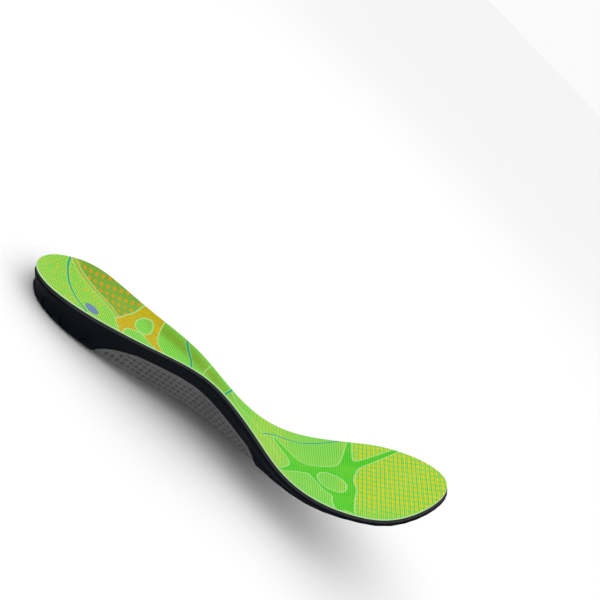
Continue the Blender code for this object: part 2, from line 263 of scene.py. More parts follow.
# Where parts of the print and the painted shade fade in and out, in mm from the heel unless across the sole
TOE_DASHES = (208, 222)
TOE_DASHES_THIN = (30, 46)  # across, on the inner side
TOE_DASHES_LOSS = 0.75
MIDDLE_DASHES = ((147, 153), (172, 182))
MIDDLE_DASHES_SHARE = 0.5
HEEL_SPECKS = (40, 64)
HEEL_SPECKS_SHARE = 0.9
ARCH_SPECKS = ((60, 75), (180, 215))
ARCH_SPECKS_SHARE = 0.12
DOTS = ((8, 11), (57, 59))
DOTS_BESIDE_BAND = (1.2, 1.8)  # from the band's middle
# Painted shade on the cover: darker olive along a fold and on the outer side of the heel
OLIVE_FOLD_SHADE = ((62, 76), (118, 150))
OLIVE_FOLD_SHADE_PLACE = (80, 31, 0.05, 3.2)  # a point on the fold, its slope and its width
OLIVE_HEEL_SHADE = (55, 75)
OLIVE_HEEL_SHADE_SIDE = (24, 38)  # across, on the outer side
OLIVE_HEEL_SHADE_SHARE = 0.5

# Half widths of the print's lines: full up to the first, gone at the second
BAND_EDGE = (1.2, 1.7)
HAIRLINE_PLACE = 1.5  # from the band's middle
HAIRLINE_EDGE = (0.12, 0.4)
PALE_EDGE = (0.2, 0.5)
TEAL_EDGE = (0.45, 0.85)
TEAL_RIM_EDGE = (0.8, 1.2)
MARK_EDGE = (0.9, 1.0)
WEB_TURN = 12.0  # half the length over which the web's colour turns
DASH_SHIFT = 0.7  # from one row of dashes to the next
SPECK_PITCH = (2.1, 2.3)
SPECK_SLANT = 0.25
DOT_SLANT = (0.5, 0.35)

# Colours of the print, and of each material from its darker to its paler parts
DOT_GROUND = ((0.14, 0.33, 0.02), (0.30, 0.52, 0.08))
DOT_ORANGE = (0.66, 0.33, 0.012)
BAND_BROWN = (0.48, 0.34, 0.02)
WARM_WEB = ((0.40, 0.42, 0.01), (0.72, 0.44, 0.006))
WEB_GREEN_THREADS = (0.12, 0.72, 0.03)
MARK_BLUE = ((0.10, 0.17, 0.42), (0.22, 0.30, 0.55))
KNIT_GAPS = (0.05, 0.20, 0.01)
PALE_PATCHES = (0.45, 0.72, 0.10)
CUT_EDGE = ((0.30, 0.58, 0.20), (0.66, 0.88, 0.55))
FOAM_BLACK = ((0.004, 0.005, 0.008), (0.014, 0.016, 0.022))
BASE_BLACK = ((0.0006, 0.0014, 0.0034), (0.0016, 0.003, 0.0065))
BASE_GRAIN = (0.005, 0.007, 0.012)
PLATE_GREY = ((0.070, 0.071, 0.075), (0.100, 0.099, 0.100))
# Painted shade in the dimples of the arch plate
PLATE_PIT_SHADE = (0.022, 0.018, 0.015)
PLATE_GRAIN = (0.15, 0.15, 0.155)
PAD_RED = ((0.15, 0.004, 0.005), (0.28, 0.008, 0.006))
FLOOR_WHITE = ((0.945, 0.945, 0.945), (0.955, 0.955, 0.955))


def stroke_field(places, strokes, blend):
    """How far inside the nearest stroke each place is, with the strokes melting into each other."""
    sharpness = 2.5 / blend
    total = np.zeros(len(places))
    for (x0, y0, r0), (x1, y1, r1) in strokes:
        start = np.array([x0, y0], float)
        run = np.array([x1, y1], float) - start
        share = np.clip((places - start) @ run / (run @ run), 0, 1)
        gap = np.linalg.norm(places - start - share[:, None] * run, axis=1)
        total += np.exp((r0 + (r1 - r0) * share - gap) * sharpness)
    return np.log(np.maximum(total, 1e-12)) / sharpness


def island_field(places, islands):
    """How far outside the nearest oval each place is, in millimetres."""
    nearest = np.full(len(places), FAR)
    for x, y, half_long, half_wide, degrees in islands:
        turn = math.radians(degrees)
        across = places - np.array([x, y])
        u = (across @ [math.cos(turn), math.sin(turn)]) / half_long
        v = (across @ [-math.sin(turn), math.cos(turn)]) / half_wide
        reach = (u**4 + v**4 + 2.4 * u * u * v * v) ** 0.25  # 1 on an oval a little leaner than an ellipse
        nearest = np.minimum(nearest, (reach - 1) * half_wide)
    return nearest


def smooth_line(points):
    """A smooth line through the points, with four steps between each two."""
    knots = np.array(points, float)
    slope = np.gradient(knots, axis=0)
    line = []
    for k in range(len(knots) - 1):
        for u in (0, 0.25, 0.5, 0.75):
            start = (2 * u**3 - 3 * u**2 + 1) * knots[k] + (u**3 - 2 * u**2 + u) * slope[k]
            end = (3 * u**2 - 2 * u**3) * knots[k + 1] + (u**3 - u**2) * slope[k + 1]
            line.append(start + end)
    return np.array(line + [knots[-1]])


def line_gap(places, lines):
    """How far each place is from the nearest line, with a sign for the side it lies on.

    Neighbouring lines count their sides the other way round, so the sign only turns on a line.
    """
    nearest = np.full(len(places), FAR)
    sign = -1
    for points in lines:
        line = smooth_line(points)
        for start, end in zip(line[:-1], line[1:]):
            run = end - start
            ahead = places - start
            share = np.clip(ahead @ run / (run @ run), 0, 1)
            gap = np.linalg.norm(ahead - share[:, None] * run, axis=1)
            side = np.where(run[0] * ahead[:, 1] - run[1] * ahead[:, 0] > 0, sign, -sign)
            nearest = np.where(gap < abs(nearest), side * gap, nearest)
        sign = -sign
    return nearest


# Tools for meshes
def deselect():
    for obj in bpy.context.selected_objects:
        obj.select_set(False)


def activate(obj):
    deselect()
    obj.select_set(True)
    bpy.context.view_layer.objects.active = obj


def edit(obj):
    activate(obj)
    bpy.ops.object.mode_set(mode="EDIT")


def finish_edit():
    bpy.ops.object.mode_set(mode="OBJECT")


def apply_all(obj):
    activate(obj)
    for modifier in list(obj.modifiers):
        bpy.ops.object.modifier_apply(modifier=modifier.name)


def points_of(mesh):
    points = np.empty(len(mesh.vertices) * 3)
    mesh.vertices.foreach_get("co", points)
    return points.reshape(-1, 3)


def normals_of(mesh):
    normals = np.empty(len(mesh.vertices) * 3)
    mesh.vertices.foreach_get("normal", normals)
    return normals.reshape(-1, 3)


def set_points(mesh, points):
    mesh.vertices.foreach_set("co", np.ascontiguousarray(points, np.float32).ravel())
    mesh.update()


def add_values(mesh, name, values):
    attribute = mesh.attributes.new(name, "FLOAT", "POINT")
    attribute.data.foreach_set("value", np.ascontiguousarray(values, np.float32))


def add_flat_map(mesh, places):
    """A UV map that holds places on the flat sole, in millimetres."""
    layer = mesh.uv_layers.get(FLAT_MAP) or mesh.uv_layers.new(name=FLAT_MAP)
    loops = np.empty(len(mesh.loops), np.int32)
    mesh.loops.foreach_get("vertex_index", loops)
    layer.data.foreach_set("uv", np.ascontiguousarray(places[loops], np.float32).ravel())


def subdivide(obj, levels, boundary="ALL"):
    subdivision = obj.modifiers.new("Smooth", "SUBSURF")
    subdivision.levels = levels
    subdivision.render_levels = levels
    subdivision.boundary_smooth = boundary
    apply_all(obj)


def shade(obj, degrees):
    """Smooth shading, with sharp edges where faces turn by more than some degrees."""
    obj.data.shade_smooth()
    activate(obj)
    bpy.ops.object.shade_smooth_by_angle(angle=math.radians(degrees))


def merged_copy(node, name):
    """A copy of a CAD node, with its doubles merged and its triangles joined to quads."""
    mesh = frame["nodes"][node].data.copy()
    mesh.materials.clear()
    obj = bpy.data.objects.new(name, mesh)
    bpy.context.scene.collection.objects.link(obj)
    edit(obj)
    bpy.ops.mesh.select_all(action="SELECT")
    bpy.ops.mesh.remove_doubles(threshold=DOUBLES_GAP)
    bpy.ops.mesh.tris_convert_to_quads(face_threshold=QUAD_FLATNESS, shape_threshold=QUAD_SKEW)
    finish_edit()
    if mesh.has_custom_normals:
        bpy.ops.mesh.customdata_custom_splitnormals_clear()
    return obj


def finish_piece(obj, node):
    """The piece stands for its CAD node and moves with the insole."""
    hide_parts(node)
    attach(obj, "root")
    deselect()


# Tools for materials
def new_material(name):
    material = bpy.data.materials.new(name)
    material.use_nodes = True
    return material


class Graph:
    """Adds and links the nodes of one material."""

    def __init__(self, material):
        self.tree = material.node_tree
        self.shader = self.tree.nodes["Principled BSDF"]

    def node(self, kind, **settings):
        made = self.tree.nodes.new(kind)
        for name, value in settings.items():
            setattr(made, name, value)
        return made

    def put(self, socket, value):
        if isinstance(value, bpy.types.NodeSocket):
            self.tree.links.new(value, socket)
        elif isinstance(value, tuple) and len(value) == 3 and socket.type == "RGBA":
            socket.default_value = (*value, 1)
        else:
            socket.default_value = value

    def math(self, operation, a, b=0.0, c=0.0):
        made = self.node("ShaderNodeMath", operation=operation)
        for socket, value in zip(made.inputs, (a, b, c)):
            self.put(socket, value)
        return made.outputs[0]

    def times(self, a, b):
        return self.math("MULTIPLY", a, b)

    def times_add(self, a, b, c):
        """a times b, plus c."""
        return self.math("MULTIPLY_ADD", a, b, c)

    def size_of(self, value):
        """The value without its sign."""
        return self.math("ABSOLUTE", value)

    def step(self, value, low, high, start=0.0, end=1.0):
        """From start at low to end at high, smoothly, and level beyond both."""
        made = self.node("ShaderNodeMapRange", interpolation_type="SMOOTHSTEP")
        for socket, v in zip(made.inputs[:5], (value, low, high, start, end)):
            self.put(socket, v)
        return made.outputs[0]

    def within(self, value, edge, strength=1.0):
        """The strength up to the edge's first value, and nothing past its second."""
        return self.step(value, *edge, strength, 0.0)

    def mix(self, share, a, b):
        """A colour from a to b; sockets 6 and 7 and output 2 are the node's colours."""
        made = self.node("ShaderNodeMix", data_type="RGBA")
        self.put(made.inputs[0], share)
        self.put(made.inputs[6], a)
        self.put(made.inputs[7], b)
        return made.outputs[2]

    def value(self, name):
        """A value that the mesh holds at its points."""
        return self.node("ShaderNodeAttribute", attribute_name=name).outputs["Fac"]

    def noise(self, scale, detail=3.0, roughness=0.6):
        made = self.node("ShaderNodeTexNoise")
        self.put(made.inputs["Vector"], self.node("ShaderNodeTexCoord").outputs["Object"])
        made.inputs["Scale"].default_value = scale
        made.inputs["Detail"].default_value = detail
        made.inputs["Roughness"].default_value = roughness
        return made.outputs["Fac"]

    def bump(self, height, strength, distance):
        made = self.node("ShaderNodeBump")
        made.inputs["Strength"].default_value = strength
        made.inputs["Distance"].default_value = distance
        self.put(made.inputs["Height"], height)
        self.put(self.shader.inputs["Normal"], made.outputs[0])

    def flat(self):
        """x and y on the flat sole, in millimetres."""
        uv = self.node("ShaderNodeUVMap", uv_map=FLAT_MAP)
        parts = self.node("ShaderNodeSeparateXYZ")
        self.put(parts.inputs[0], uv.outputs[0])
        return parts.outputs[0], parts.outputs[1]

    def wave(self, value, pitch):
        """A cosine of the value, from 0 to 1, once each pitch."""
        turn = self.times(value, 2 * math.pi / pitch)
        return self.times_add(self.math("COSINE", turn), 0.5, 0.5)


def cover_finish(sizes):
    """Knit with its print and painted shade, worked out from places on the flat sole and values at the
    mesh's points.
    """
    material = new_material("printed_knit")
    g = Graph(material)
    x, y = g.flat()
    ribs = g.wave(x, sizes.knit_pitch)
    stitches = g.wave(g.times_add(ribs, 0.4, y), sizes.knit_pitch * 0.85)
    threads = g.times(ribs, g.times_add(stitches, 0.45, 0.55))
    speck = g.noise(420.0, detail=2.0)

    # Ground of the cells: pale green threads over a deeper green, with olive painted shade along a fold and
    # on the heel's outer side
    colour = g.mix(g.times(threads, 0.9), tuple(sizes.cell_green), tuple(sizes.mint))
    colour = g.mix(g.times(g.value("olive"), 0.8), colour, tuple(sizes.olive))
    colour = g.mix(long_dashes(g, x, y, speck, sizes), colour, tuple(sizes.yellow))
    colour = g.mix(short_dashes(g, x, y, speck), colour, tuple(sizes.orange))
    colour = with_dots(g, colour, x, y, threads, speck, sizes)
    colour = with_lines(g, colour, sizes)
    colour = with_web(g, colour, x, ribs, threads, speck, sizes)
    colour = g.mix(g.within(g.value("mark"), MARK_EDGE), colour, g.mix(threads, *MARK_BLUE))

    # Dark gaps of the knit and large pale patches show through the print all over
    gaps = g.within(threads, (0.0, 0.35))
    colour = g.mix(g.times(gaps, 0.22), colour, KNIT_GAPS)
    patches = g.step(g.noise(60.0, roughness=0.5), 0.4, 0.7)
    colour = g.mix(g.times(patches, 0.12), colour, PALE_PATCHES)
    g.put(g.shader.inputs["Base Color"], colour)
    g.shader.inputs["Roughness"].default_value = 0.82
    g.shader.inputs["Sheen Weight"].default_value = 0.04
    g.shader.inputs["Specular IOR Level"].default_value = 0.1
    g.bump(threads, strength=0.55, distance=0.22 * MM)
    return material


def roughen(g, shape, speck, amount):
    """The shape with specks of the yarn added, so that its edge breaks up."""
    return g.times_add(g.math("SUBTRACT", speck, 0.5), amount, shape)


def long_dashes(g, x, y, speck, sizes):
    """Rows of long dashes across the sole, each row shifted from the one before."""
    row = g.math("FLOOR", g.math("DIVIDE", x, sizes.dash_pitch))
    lengths = g.wave(g.times_add(row, DASH_SHIFT, y), sizes.dash_length)
    dash = g.times(g.wave(x, sizes.dash_pitch), g.times_add(lengths, 0.75, 0.25))
    return g.times(g.step(roughen(g, dash, speck, 0.9), 0.20, 0.46), g.value("dashes"))


def short_dashes(g, x, y, speck):
    """A fine slanting mesh of broken dashes."""
    slanted_x = g.times_add(y, SPECK_SLANT, x)
    slanted_y = g.times_add(x, -SPECK_SLANT, y)
    dash = g.times(g.wave(slanted_x, SPECK_PITCH[0]), g.wave(slanted_y, SPECK_PITCH[1]))
    return g.times(g.step(roughen(g, dash, speck, 2.4), 0.34, 0.55), g.value("specks"))


def with_dots(g, colour, x, y, threads, speck, sizes):
    """Large orange dots on an olive green, at the outer side of the heel."""
    zone = g.value("dots")
    colour = g.mix(zone, colour, g.mix(threads, *DOT_GROUND))
    slanted_x = g.math("ADD", x, g.times(y, DOT_SLANT[0]))
    slanted_y = g.math("SUBTRACT", y, g.times(x, DOT_SLANT[1]))
    dot = g.times(g.wave(slanted_x, sizes.dot_pitch), g.wave(slanted_y, sizes.dot_pitch))
    dot = g.step(roughen(g, dot, speck, 0.35), 0.30, 0.55)
    return g.mix(g.times(dot, zone), colour, DOT_ORANGE)


def with_lines(g, colour, sizes):
    """The band between two hairlines, the pale lines, and the teal lines with their pale rims."""
    outline = tuple(sizes.outline)
    band = g.size_of(g.value("band"))
    colour = g.mix(g.times(g.within(band, BAND_EDGE), 0.45), colour, BAND_BROWN)
    hairline = g.size_of(g.math("SUBTRACT", band, HAIRLINE_PLACE))
    colour = g.mix(g.within(hairline, HAIRLINE_EDGE, 0.85), colour, outline)
    pale = g.size_of(g.value("pale"))
    colour = g.mix(g.within(pale, PALE_EDGE, 0.7), colour, outline)
    teal = g.size_of(g.value("teal"))
    colour = g.mix(g.within(teal, TEAL_RIM_EDGE, 0.6), colour, outline)
    return g.mix(g.within(teal, TEAL_EDGE), colour, tuple(sizes.teal))


def with_web(g, colour, x, ribs, threads, speck, sizes):
    """The web and its pale outline: warm up to a place along the sole, green beyond it."""
    web = g.value("web")
    mottle = g.times_add(speck, 1.0, g.times(ribs, 0.35))
    warm = g.mix(g.step(mottle, 0.45, 0.8), *WARM_WEB)
    green = g.mix(threads, tuple(sizes.web_green), WEB_GREEN_THREADS)
    turn = (sizes.web_warm_until - WEB_TURN, sizes.web_warm_until + WEB_TURN)
    colour = g.mix(g.step(web, -0.15, 0.15), colour, g.mix(g.within(x, turn), green, warm))
    outline = g.within(g.size_of(web), (sizes.outline_width * 0.4, sizes.outline_width), 0.85)
    return g.mix(outline, colour, tuple(sizes.outline))


def cut_edge_finish():
    material = new_material("cover_cut_edge")
    g = Graph(material)
    fibres = g.noise(1800.0, roughness=0.7)
    g.put(g.shader.inputs["Base Color"], g.mix(fibres, *CUT_EDGE))
    g.shader.inputs["Roughness"].default_value = 0.9
    g.bump(fibres, strength=0.4, distance=0.2 * MM)
    return material


def foam_finish():
    material = new_material("dark_foam")
    g = Graph(material)
    cells = g.noise(2600.0, detail=2.0, roughness=0.8)
    g.put(g.shader.inputs["Base Color"], g.mix(cells, *FOAM_BLACK))
    g.shader.inputs["Roughness"].default_value = 0.85
    g.bump(cells, strength=0.5, distance=0.3 * MM)
    return material


def base_finish():
    material = new_material("black_moulded_foam")
    g = Graph(material)
    grain = g.noise(1500.0, roughness=0.65)
    cloud = g.noise(28.0, detail=4.0)
    colour = g.mix(g.step(cloud, 0.35, 0.7), *BASE_BLACK)
    colour = g.mix(g.step(grain, 0.4, 0.8, 0.0, 0.4), colour, BASE_GRAIN)
    g.put(g.shader.inputs["Base Color"], colour)
    g.put(g.shader.inputs["Roughness"], g.step(cloud, 0.2, 0.8, 0.50, 0.64))
    g.shader.inputs["Specular IOR Level"].default_value = 0.05
    g.bump(grain, strength=0.25, distance=0.15 * MM)
    return material


def plate_finish():
    material = new_material("grey_moulded_plastic")
    g = Graph(material)
    grain = g.noise(900.0)
    cloud = g.noise(35.0, detail=4.0)
    colour = g.mix(g.step(cloud, 0.3, 0.7), *PLATE_GREY)
    # Painted shade: the dimples are darkened where their hollows fall into shade
    colour = g.mix(g.times(g.value("pit"), 0.9), colour, PLATE_PIT_SHADE)
    colour = g.mix(g.step(grain, 0.45, 0.8, 0.0, 0.35), colour, PLATE_GRAIN)
    g.put(g.shader.inputs["Base Color"], colour)
    g.put(g.shader.inputs["Roughness"], g.step(cloud, 0.2, 0.8, 0.38, 0.52))
    g.shader.inputs["Specular IOR Level"].default_value = 0.3
    g.bump(grain, strength=0.3, distance=0.1 * MM)
    return material


def pad_finish():
    material = new_material("red_gel")
    g = Graph(material)
    cloud = g.noise(70.0)
    grain = g.noise(1600.0, detail=2.0)
    g.put(g.shader.inputs["Base Color"], g.mix(g.step(cloud, 0.3, 0.7), *PAD_RED))
    g.put(g.shader.inputs["Roughness"], g.step(grain, 0.3, 0.8, 0.26, 0.42))
    g.shader.inputs["Specular IOR Level"].default_value = 0.25
    g.shader.inputs["Subsurface Weight"].default_value = 0.04
    g.shader.inputs["Subsurface Radius"].default_value = (4 * MM, 1 * MM, 0.5 * MM)
    g.bump(grain, strength=0.15, distance=0.1 * MM)
    return material


class InsoleCoverSizes(bpy.types.PropertyGroup):
    knit_pitch: FloatProperty(name="Knit pitch", description="From one rib of the knit to the next, in mm",
                              default=1.1, min=0.3)
    dash_pitch: FloatProperty(name="Dash pitch", description="From one yellow dash to the next, in mm",
                              default=2.5, min=0.5)
    dash_length: FloatProperty(name="Dash length", description="From one dash to the next in a row, in mm",
                               default=5.0, min=1)
    dot_pitch: FloatProperty(name="Dot pitch", description="From one orange dot to the next, in mm",
                             default=4.3, min=1)
    outline_width: FloatProperty(name="Outline width", description="Half width of the pale outlines, in mm",
                                 default=0.46, min=0.1)
    web_warm_until: FloatProperty(name="Warm web until", description="Where the web turns green, in mm",
                                  default=120.0)
    cell_green: FloatVectorProperty(name="Cell green", description="Ground of the cells", subtype="COLOR",
                                    default=(0.13, 0.55, 0.035))
    mint: FloatVectorProperty(name="Mint", description="Pale threads of the knit", subtype="COLOR",
                              default=(0.36, 0.86, 0.16))
    # Colour of the painted shade along a fold and on the heel's outer side
    olive: FloatVectorProperty(name="Olive", description="Darker bands along the sole", subtype="COLOR",
                               default=(0.20, 0.34, 0.02))
    yellow: FloatVectorProperty(name="Yellow", description="Long dashes of the print", subtype="COLOR",
                                default=(0.76, 0.62, 0.004))
    orange: FloatVectorProperty(name="Orange", description="Short dashes of the print", subtype="COLOR",
                                default=(0.64, 0.56, 0.03))
    web_green: FloatVectorProperty(name="Web green", description="Web of the print at the forefoot",
                                   subtype="COLOR", default=(0.055, 0.52, 0.008))
    outline: FloatVectorProperty(name="Outline", description="Pale outlines of the print", subtype="COLOR",
                                 default=(0.50, 0.80, 0.32))
    teal: FloatVectorProperty(name="Teal", description="Teal lines of the print", subtype="COLOR",
                              default=(0.01, 0.34, 0.20))


class InsoleBaseSizes(bpy.types.PropertyGroup):
    groove_length: FloatProperty(name="Groove length", description="Length of a groove", default=4.2 * MM,
                                 unit="LENGTH")
    groove_width: FloatProperty(name="Groove width", description="Width of a groove", default=0.8 * MM,
                                unit="LENGTH")
    groove_depth: FloatProperty(name="Groove depth", description="Depth of a groove", default=0.35 * MM,
                                unit="LENGTH")
    fan_count: IntProperty(name="Fan count", description="Grooves round the back of the heel pad",
                           default=23)
    fan_angle: FloatProperty(name="Fan angle", description="Spread of the fan, in degrees", default=116)
    fan_gap: FloatProperty(name="Fan gap", description="From the pad to the middle of a groove",
                           default=7 * MM, unit="LENGTH")
    row_count: IntProperty(name="Row count", description="Grooves ahead of the arch plate", default=22)
    row_pitch: FloatProperty(name="Row pitch", description="From one groove to the next", default=1.9 * MM,
                             unit="LENGTH")
    row_start: FloatProperty(name="Row start", description="Outer end of the row, across the sole",
                             default=24 * MM, unit="LENGTH")
    row_place: FloatProperty(name="Row place", description="Where the row runs, from the heel",
                             default=158 * MM, unit="LENGTH")


class InsolePadSizes(bpy.types.PropertyGroup):
    rings: IntProperty(name="Rings", description="Raised rings on the pad's face", default=7)
    border: FloatProperty(name="Border", description="Flat border round the rings", default=4.5 * MM,
                          unit="LENGTH")
    ring_height: FloatProperty(name="Ring height", description="Height of a ring", default=0.3 * MM,
                               unit="LENGTH")


class InsolePlateSizes(bpy.types.PropertyGroup):
    pitch: FloatProperty(name="Pitch", description="From one dimple to the next", default=3.2 * MM,
                         unit="LENGTH")
    radius: FloatProperty(name="Radius", description="Radius of a dimple", default=1.42 * MM, unit="LENGTH")
    depth: FloatProperty(name="Depth", description="Depth of a dimple", default=0.4 * MM, unit="LENGTH")
    cuts: IntProperty(name="Cuts", description="Cuts of each quad that carries the dimples", default=4)


class INSOLE_OT_cover(bpy.types.Operator):
    """Model the printed cover"""

    bl_idname = "insole.cover"
    bl_label = "Cover"

    def execute(self, context):
        sizes = context.scene.insole_cover
        obj = merged_copy("top_cover", "cover")
        mesh = obj.data
        mark_cut_edge(mesh)
        roll_heel_rim(mesh, COVER_ROLL)
        smooth_shell(obj, COVER_LEVELS)
        print_on(mesh, flat_places(points_of(mesh)) * TO_MM)
        mesh.materials.append(cover_finish(sizes))
        mesh.materials.append(cut_edge_finish())
        finish_piece(obj, "top_cover")
        return {"FINISHED"}


def roll_heel_rim(mesh, reach):
    """Draws a sheet's rim out over the layers under it, round the back of the heel."""
    origin_x, origin_y = flat_origin()
    middle_x, middle_y = HEEL_MIDDLE
    points = points_of(mesh)
    rim = {v for face in cut_edge_faces(mesh) for v in face.vertices}
    for v in rim:
        x = points[v][0] - origin_x
        y = points[v][1] - origin_y
        out = Vector((x - middle_x, y - middle_y)).normalized()
        share = eased(fall(x, 0, middle_x))
        share *= np.clip(ROLL_AT_BACK - ROLL_TOWARDS_INNER * out.y, 0, 1)
        points[v] += np.array([out.x * reach, out.y * reach, ROLL_LIFT]) * share
    set_points(mesh, points)


def cut_edge_faces(mesh):
    """The narrow strip of faces between the sheet's two sharp edges."""
    sharp = sharp_edges(mesh, SHEET_SHARP)
    return [face for face in mesh.polygons if sum(key in sharp for key in face.edge_keys) >= 2]


def mark_cut_edge(mesh):
    """Gives the second material to the cut edge of the sheet."""
    for face in cut_edge_faces(mesh):
        face.material_index = 1


def sharp_edges(mesh, degrees):
    """The edges whose two faces turn by more than some degrees."""
    faces = {}
    for face in mesh.polygons:
        for key in face.edge_keys:
            faces.setdefault(key, []).append(face.normal.copy())
    limit = math.radians(degrees)
    pairs = [(key, pair) for key, pair in faces.items() if len(pair) == 2]
    return {key for key, pair in pairs if pair[0].angle(pair[1], 0) > limit}


def smooth_shell(obj, levels):
    """Subdivides a closed sheet smoothly and keeps its sharp edges."""
    mesh = obj.data
    sharp = sharp_edges(mesh, SHEET_SHARP)
    crease = mesh.attributes.new("crease_edge", "FLOAT", "EDGE")
    for edge in mesh.edges:
        if tuple(sorted(edge.vertices)) in sharp:
            crease.data[edge.index].value = 1.0
    subdivide(obj, levels)
    shade(obj, SHEET_SHARP)


def print_on(mesh, places):
    """Lays the print and the painted shade out on the cover as distances and shares at its points."""
    flat = places[:, :2]
    add_flat_map(mesh, flat)
    x, y = flat.T
    strokes = stroke_field(flat, WEB_STROKES, WEB_BLEND)
    mark_x, mark_y, mark_half_x, mark_half_y = HEEL_MARK
    outer = rise(line_side(flat, BAND_LINE), *DOTS_BESIDE_BAND)
    toe = rise(x, *TOE_DASHES) * (1 - TOE_DASHES_LOSS * rise(-y, *TOE_DASHES_THIN))
    middle = MIDDLE_DASHES_SHARE * rise(x, *MIDDLE_DASHES[0]) * fall(x, *MIDDLE_DASHES[1])
    heel = HEEL_SPECKS_SHARE * fall(x, *HEEL_SPECKS)
    arch = ARCH_SPECKS_SHARE * rise(x, *ARCH_SPECKS[0]) * fall(x, *ARCH_SPECKS[1])
    # Painted shade: darker olive along a fold and on the outer side of the heel
    fold_x, fold_y, slope, width = OLIVE_FOLD_SHADE_PLACE
    fold_shade = hump(y, fold_y + slope * (x - fold_x), width)
    fold_shade = fold_shade * rise(x, *OLIVE_FOLD_SHADE[0]) * fall(x, *OLIVE_FOLD_SHADE[1])
    heel_side_shade = OLIVE_HEEL_SHADE_SHARE * rise(y, *OLIVE_HEEL_SHADE_SIDE) * fall(x, *OLIVE_HEEL_SHADE)
    layers = {
        "web": np.minimum(strokes, island_field(flat, WEB_ISLANDS)),
        "teal": line_gap(flat, TEAL_LINES),
        "pale": line_gap(flat, PALE_LINES),
        "mark": np.hypot((x - mark_x) / mark_half_x, (y - mark_y) / mark_half_y),
        "band": line_gap(flat, (BAND_LINE,)),
        "dots": outer * rise(x, *DOTS[0]) * fall(x, *DOTS[1]),
        "dashes": np.maximum(toe, middle),
        "specks": heel + arch,
        "olive": np.clip(fold_shade + heel_side_shade, 0, 1),
    }
    for name, values in layers.items():
        add_values(mesh, name, values)


def line_side(places, points):
    """How far each place is to the outer side of a line that runs from heel to toe."""
    line = smooth_line(points)
    return places[:, 1] - np.interp(places[:, 0], line[:, 0], line[:, 1])


class INSOLE_OT_foam(bpy.types.Operator):
    """Model the foam under the cover"""

    bl_idname = "insole.foam"
    bl_label = "Foam"

    def execute(self, context):
        obj = merged_copy("cushion_foam", "foam")
        roll_heel_rim(obj.data, FOAM_ROLL)
        smooth_shell(obj, FOAM_LEVELS)
        obj.data.materials.append(foam_finish())
        finish_piece(obj, "cushion_foam")
        return {"FINISHED"}


class INSOLE_OT_base(bpy.types.Operator):
    """Model the moulded base with its fine grooves"""

    bl_idname = "insole.base"
    bl_label = "Base"

    def execute(self, context):
        sizes = context.scene.insole_base
        obj = merged_copy("base", "base_body")
        cut_grooves(obj, heel_fan(obj, sizes) + front_row(obj, sizes))
        shade(obj, BASE_SHARP)
        obj.data.materials.append(base_finish())
        finish_piece(obj, "base")
        return {"FINISHED"}


def add_groove(base, x, y, turn, sizes):
    """A block in the underside at a place of the sole's plan, turned about the surface's normal."""
    origin_x, origin_y = flat_origin()
    start = Vector((origin_x + x, origin_y + y, BELOW_FLOOR))
    hit, place, normal, _ = base.ray_cast(start, Vector((0, 0, 1)))
    if not hit:
        raise RuntimeError(f"No underside at {x:.4f}, {y:.4f}")
    along = Vector((math.cos(turn), math.sin(turn), 0))
    along = (along - normal * along.dot(normal)).normalized()
    facing = Matrix((along, normal.cross(along), normal)).transposed()
    scale = (sizes.groove_length, sizes.groove_width, 2 * sizes.groove_depth)
    deselect()
    bpy.ops.mesh.primitive_cube_add(size=1, location=place, rotation=facing.to_euler(), scale=scale)
    return bpy.context.object


def heel_fan(base, sizes):
    """Grooves that fan out round the heel pad, at the back of the heel."""
    low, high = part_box("heel_pad")
    reach = Vector(((high.x - low.x) / 2 + sizes.fan_gap, (high.y - low.y) / 2 + sizes.fan_gap))
    blocks = []
    for k in range(sizes.fan_count):
        turn = math.pi + math.radians(sizes.fan_angle) * (k / (sizes.fan_count - 1) - 0.5)
        x = PAD_PLACE[0] + reach.x * math.cos(turn)
        y = PAD_PLACE[1] + reach.y * math.sin(turn)
        blocks.append(add_groove(base, x, y, turn, sizes))
    return blocks


def front_row(base, sizes):
    """A row of grooves ahead of the arch plate."""
    line, _, ahead, _ = bend_line()
    blocks = []
    for k in range(sizes.row_count):
        y = sizes.row_start - k * sizes.row_pitch
        place = sizes.row_place - abs(y - ROW_MIDDLE) * ROW_BEND
        x = float(np.interp(place / SOLE_LENGTH, line, ahead))
        blocks.append(add_groove(base, x, y, 0, sizes))
    return blocks


def cut_grooves(base, blocks):
    """Cuts the blocks out of the base, then removes them."""
    deselect()
    for block in blocks:
        block.select_set(True)
    bpy.context.view_layer.objects.active = blocks[0]
    bpy.ops.object.join()
    cutter = bpy.context.object
    cut = base.modifiers.new("Grooves", "BOOLEAN")
    cut.operation = "DIFFERENCE"
    cut.object = cutter
    apply_all(base)
    bpy.data.objects.remove(cutter)


def keep_front(obj):
    """Keeps only the outer face of the plate, bounded by its sharp edges."""
    mesh = obj.data
    sharp = sharp_edges(mesh, PLATE_SHARP)
    by_edge = {}
    for face in mesh.polygons:
        for key in face.edge_keys:
            if key not in sharp:
                by_edge.setdefault(key, []).append(face.index)
    lowest = min((f for f in mesh.polygons if f.normal.z < FACING_DOWN), key=lambda f: f.center.z)
    front = {lowest.index}
    waiting = [lowest.index]
    while waiting:
        for key in mesh.polygons[waiting.pop()].edge_keys:
            for other in by_edge.get(key, []):
                if other not in front:
                    front.add(other)
                    waiting.append(other)
    edit(obj)
    bpy.ops.mesh.select_mode(type="FACE")
    bpy.ops.mesh.select_all(action="DESELECT")
    finish_edit()
    for face in mesh.polygons:
        face.select = face.index not in front
    edit(obj)
    bpy.ops.mesh.delete(type="FACE")
    finish_edit()


